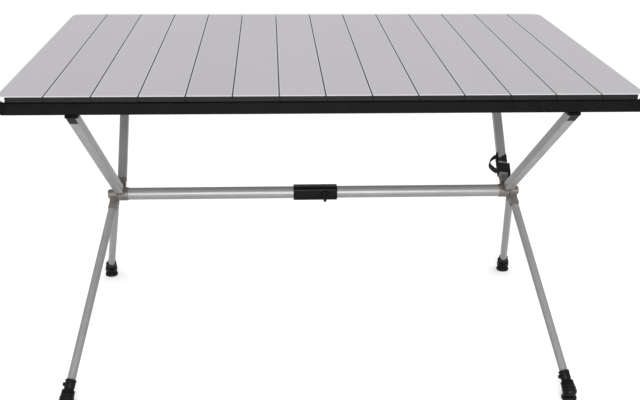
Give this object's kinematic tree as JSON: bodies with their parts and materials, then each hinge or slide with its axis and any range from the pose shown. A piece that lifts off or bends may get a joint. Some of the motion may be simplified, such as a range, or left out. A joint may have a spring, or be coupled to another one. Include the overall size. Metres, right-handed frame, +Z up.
{
  "type": "folding picnic table",
  "caption": "Folding picnic table with a roll-up slatted top on side rails, folding arms and legs on hubs, a pull-apart stretcher and swivel feet.",
  "frame": {"origin": "on the floor under the middle of the top", "axes": "+Z up, +X along the long side, -Y towards the front"},
  "size_m": [1.2, 0.8142, 0.7],
  "materials": {
    "slat_aluminium": "brushed, pale grey",
    "slat_end_plastic": "matte",
    "rail_paint": "satin black",
    "frame_tube": "satin",
    "black_moulding": "fine grain",
    "foot_rubber": "matte",
    "rivet_steel": "satin",
    "hub_casting": "as cast, warm grey",
    "strap_webbing": "woven"
  },
  "bodies": {
    "frame_left": {"stretcher_tube_left": "frame_tube", "coupling_sleeve": "black_moulding", "hub_left": "hub_casting", "hub_rivets_left": "rivet_steel"},
    "frame_right": {"stretcher_tube_right": "frame_tube", "hub_right": "hub_casting", "hub_rivets_right": "rivet_steel"},
    "clamp_lever": {"clamp_lever": "black_moulding"},
    "top_base": {"slat_01": "slat_aluminium", "slat_fittings_01": "slat_end_plastic", "front_rail": "rail_paint", "rear_rail": "rail_paint"},
    "arm_front_left": {"arm_tube_front_left": "frame_tube", "arm_fittings_front_left": "black_moulding"},
    "leg_front_left": {"leg_tube_front_left": "frame_tube", "leg_fittings_front_left": "black_moulding"},
    "foot_front_left": {"foot_front_left": "foot_rubber"},
    "arm_rear_left": {"arm_tube_rear_left": "frame_tube", "arm_fittings_rear_left": "black_moulding"},
    "leg_rear_left": {"leg_tube_rear_left": "frame_tube", "leg_fittings_rear_left": "black_moulding"},
    "foot_rear_left": {"foot_rear_left": "foot_rubber"},
    "arm_front_right": {"arm_tube_front_right": "frame_tube", "arm_fittings_front_right": "black_moulding"},
    "leg_front_right": {"leg_tube_front_right": "frame_tube", "leg_fittings_front_right": "black_moulding"},
    "foot_front_right": {"foot_front_right": "foot_rubber"},
    "arm_rear_right": {"arm_tube_rear_right": "frame_tube", "arm_fittings_rear_right": "black_moulding", "storage_strap": "strap_webbing", "strap_buckle": "black_moulding"},
    "leg_rear_right": {"leg_tube_rear_right": "frame_tube", "leg_fittings_rear_right": "black_moulding"},
    "foot_rear_right": {"foot_rear_right": "foot_rubber"},
    "slat_body_02": {"slat_02": "slat_aluminium", "slat_fittings_02": "slat_end_plastic"},
    "slat_body_03": {"slat_03": "slat_aluminium", "slat_fittings_03": "slat_end_plastic"},
    "slat_body_04": {"slat_04": "slat_aluminium", "slat_fittings_04": "slat_end_plastic"},
    "slat_body_05": {"slat_05": "slat_aluminium", "slat_fittings_05": "slat_end_plastic"},
    "slat_body_06": {"slat_06": "slat_aluminium", "slat_fittings_06": "slat_end_plastic"},
    "slat_body_07": {"slat_07": "slat_aluminium", "slat_fittings_07": "slat_end_plastic"},
    "slat_body_08": {"slat_08": "slat_aluminium", "slat_fittings_08": "slat_end_plastic"},
    "slat_body_09": {"slat_09": "slat_aluminium", "slat_fittings_09": "slat_end_plastic"},
    "slat_body_10": {"slat_10": "slat_aluminium", "slat_fittings_10": "slat_end_plastic"},
    "slat_body_11": {"slat_11": "slat_aluminium", "slat_fittings_11": "slat_end_plastic"},
    "slat_body_12": {"slat_12": "slat_aluminium", "slat_fittings_12": "slat_end_plastic"},
    "slat_body_13": {"slat_13": "slat_aluminium", "slat_fittings_13": "slat_end_plastic"},
    "slat_body_14": {"slat_14": "slat_aluminium", "slat_fittings_14": "slat_end_plastic"}
  },
  "joints": [
    {"name": "stretcher_pull", "type": "slide", "parent": "frame_left", "child": "frame_right", "axis": [1, 0, 0], "range_m": [0, 0.12]},
    {"name": "clamp_turn", "type": "hinge", "parent": "frame_left", "child": "clamp_lever", "pos_m": [0.022, -0.016, 0.361], "axis": [0, 1, 0], "range_deg": [-90, 90]},
    {"name": "top_lift", "type": "slide", "parent": "frame_left", "child": "top_base", "axis": [0, 0, 1], "range_m": [0, 0.3]},
    {"name": "arm_front_left_fold", "type": "hinge", "parent": "frame_left", "child": "arm_front_left", "pos_m": [-0.447, -0.02137, 0.37751], "axis": [0, 0.6114, 0.7913], "range_deg": [0, 88]},
    {"name": "leg_front_left_fold", "type": "hinge", "parent": "frame_left", "child": "leg_front_left", "pos_m": [-0.464, -0.01875, 0.34157], "axis": [0, -0.7196, 0.6944], "range_deg": [0, 97]},
    {"name": "foot_front_left_swivel", "type": "hinge", "parent": "leg_front_left", "child": "foot_front_left", "pos_m": [-0.5402, -0.331, 0.018], "axis": [-0.9715, 0.2371, 0], "range_deg": [-20, 20]},
    {"name": "arm_rear_left_fold", "type": "hinge", "parent": "frame_left", "child": "arm_rear_left", "pos_m": [-0.447, 0.02137, 0.37751], "axis": [0, 0.6114, -0.7913], "range_deg": [0, 88]},
    {"name": "leg_rear_left_fold", "type": "hinge", "parent": "frame_left", "child": "leg_rear_left", "pos_m": [-0.464, 0.01875, 0.34157], "axis": [0, -0.7196, -0.6944], "range_deg": [0, 97]},
    {"name": "foot_rear_left_swivel", "type": "hinge", "parent": "leg_rear_left", "child": "foot_rear_left", "pos_m": [-0.5402, 0.331, 0.018], "axis": [0.9715, 0.2371, 0], "range_deg": [-20, 20]},
    {"name": "arm_front_right_fold", "type": "hinge", "parent": "frame_right", "child": "arm_front_right", "pos_m": [0.447, -0.02137, 0.37751], "axis": [0, -0.6114, -0.7913], "range_deg": [0, 88]},
    {"name": "leg_front_right_fold", "type": "hinge", "parent": "frame_right", "child": "leg_front_right", "pos_m": [0.464, -0.01875, 0.34157], "axis": [0, 0.7196, -0.6944], "range_deg": [0, 97]},
    {"name": "foot_front_right_swivel", "type": "hinge", "parent": "leg_front_right", "child": "foot_front_right", "pos_m": [0.5402, -0.331, 0.018], "axis": [-0.9715, -0.2371, 0], "range_deg": [-20, 20]},
    {"name": "arm_rear_right_fold", "type": "hinge", "parent": "frame_right", "child": "arm_rear_right", "pos_m": [0.447, 0.02137, 0.37751], "axis": [0, -0.6114, 0.7913], "range_deg": [0, 88], "deforming": ["storage_strap"]},
    {"name": "leg_rear_right_fold", "type": "hinge", "parent": "frame_right", "child": "leg_rear_right", "pos_m": [0.464, 0.01875, 0.34157], "axis": [0, 0.7196, 0.6944], "range_deg": [0, 97]},
    {"name": "foot_rear_right_swivel", "type": "hinge", "parent": "leg_rear_right", "child": "foot_rear_right", "pos_m": [0.5402, 0.331, 0.018], "axis": [0.9715, -0.2371, 0], "range_deg": [-20, 20]},
    {"name": "slat_02_roll", "type": "hinge", "parent": "top_base", "child": "slat_body_02", "pos_m": [-0.51429, 0, 0.7], "axis": [0, -1, 0], "range_deg": [0, 48]},
    {"name": "slat_03_roll", "type": "hinge", "parent": "slat_body_02", "child": "slat_body_03", "pos_m": [-0.42857, 0, 0.7], "axis": [0, -1, 0], "range_deg": [0, 48]},
    {"name": "slat_04_roll", "type": "hinge", "parent": "slat_body_03", "child": "slat_body_04", "pos_m": [-0.34286, 0, 0.7], "axis": [0, -1, 0], "range_deg": [0, 48.4]},
    {"name": "slat_05_roll", "type": "hinge", "parent": "slat_body_04", "child": "slat_body_05", "pos_m": [-0.25714, 0, 0.7], "axis": [0, -1, 0], "range_deg": [0, 49.2]},
    {"name": "slat_06_roll", "type": "hinge", "parent": "slat_body_05", "child": "slat_body_06", "pos_m": [-0.17143, 0, 0.7], "axis": [0, -1, 0], "range_deg": [0, 51]},
    {"name": "slat_07_roll", "type": "hinge", "parent": "slat_body_06", "child": "slat_body_07", "pos_m": [-0.08571, 0, 0.7], "axis": [0, -1, 0], "range_deg": [0, 53.8]},
    {"name": "slat_08_roll", "type": "hinge", "parent": "slat_body_07", "child": "slat_body_08", "pos_m": [0, 0, 0.7], "axis": [0, -1, 0], "range_deg": [0, 58]},
    {"name": "slat_09_roll", "type": "hinge", "parent": "slat_body_08", "child": "slat_body_09", "pos_m": [0.08571, 0, 0.7], "axis": [0, -1, 0], "range_deg": [0, 63.9]},
    {"name": "slat_10_roll", "type": "hinge", "parent": "slat_body_09", "child": "slat_body_10", "pos_m": [0.17143, 0, 0.7], "axis": [0, -1, 0], "range_deg": [0, 71.7]},
    {"name": "slat_11_roll", "type": "hinge", "parent": "slat_body_10", "child": "slat_body_11", "pos_m": [0.25714, 0, 0.7], "axis": [0, -1, 0], "range_deg": [0, 81.8]},
    {"name": "slat_12_roll", "type": "hinge", "parent": "slat_body_11", "child": "slat_body_12", "pos_m": [0.34286, 0, 0.7], "axis": [0, -1, 0], "range_deg": [0, 94.3]},
    {"name": "slat_13_roll", "type": "hinge", "parent": "slat_body_12", "child": "slat_body_13", "pos_m": [0.42857, 0, 0.7], "axis": [0, -1, 0], "range_deg": [0, 109.6]},
    {"name": "slat_14_roll", "type": "hinge", "parent": "slat_body_13", "child": "slat_body_14", "pos_m": [0.51429, 0, 0.7], "axis": [0, -1, 0], "range_deg": [0, 128]}
  ]
}
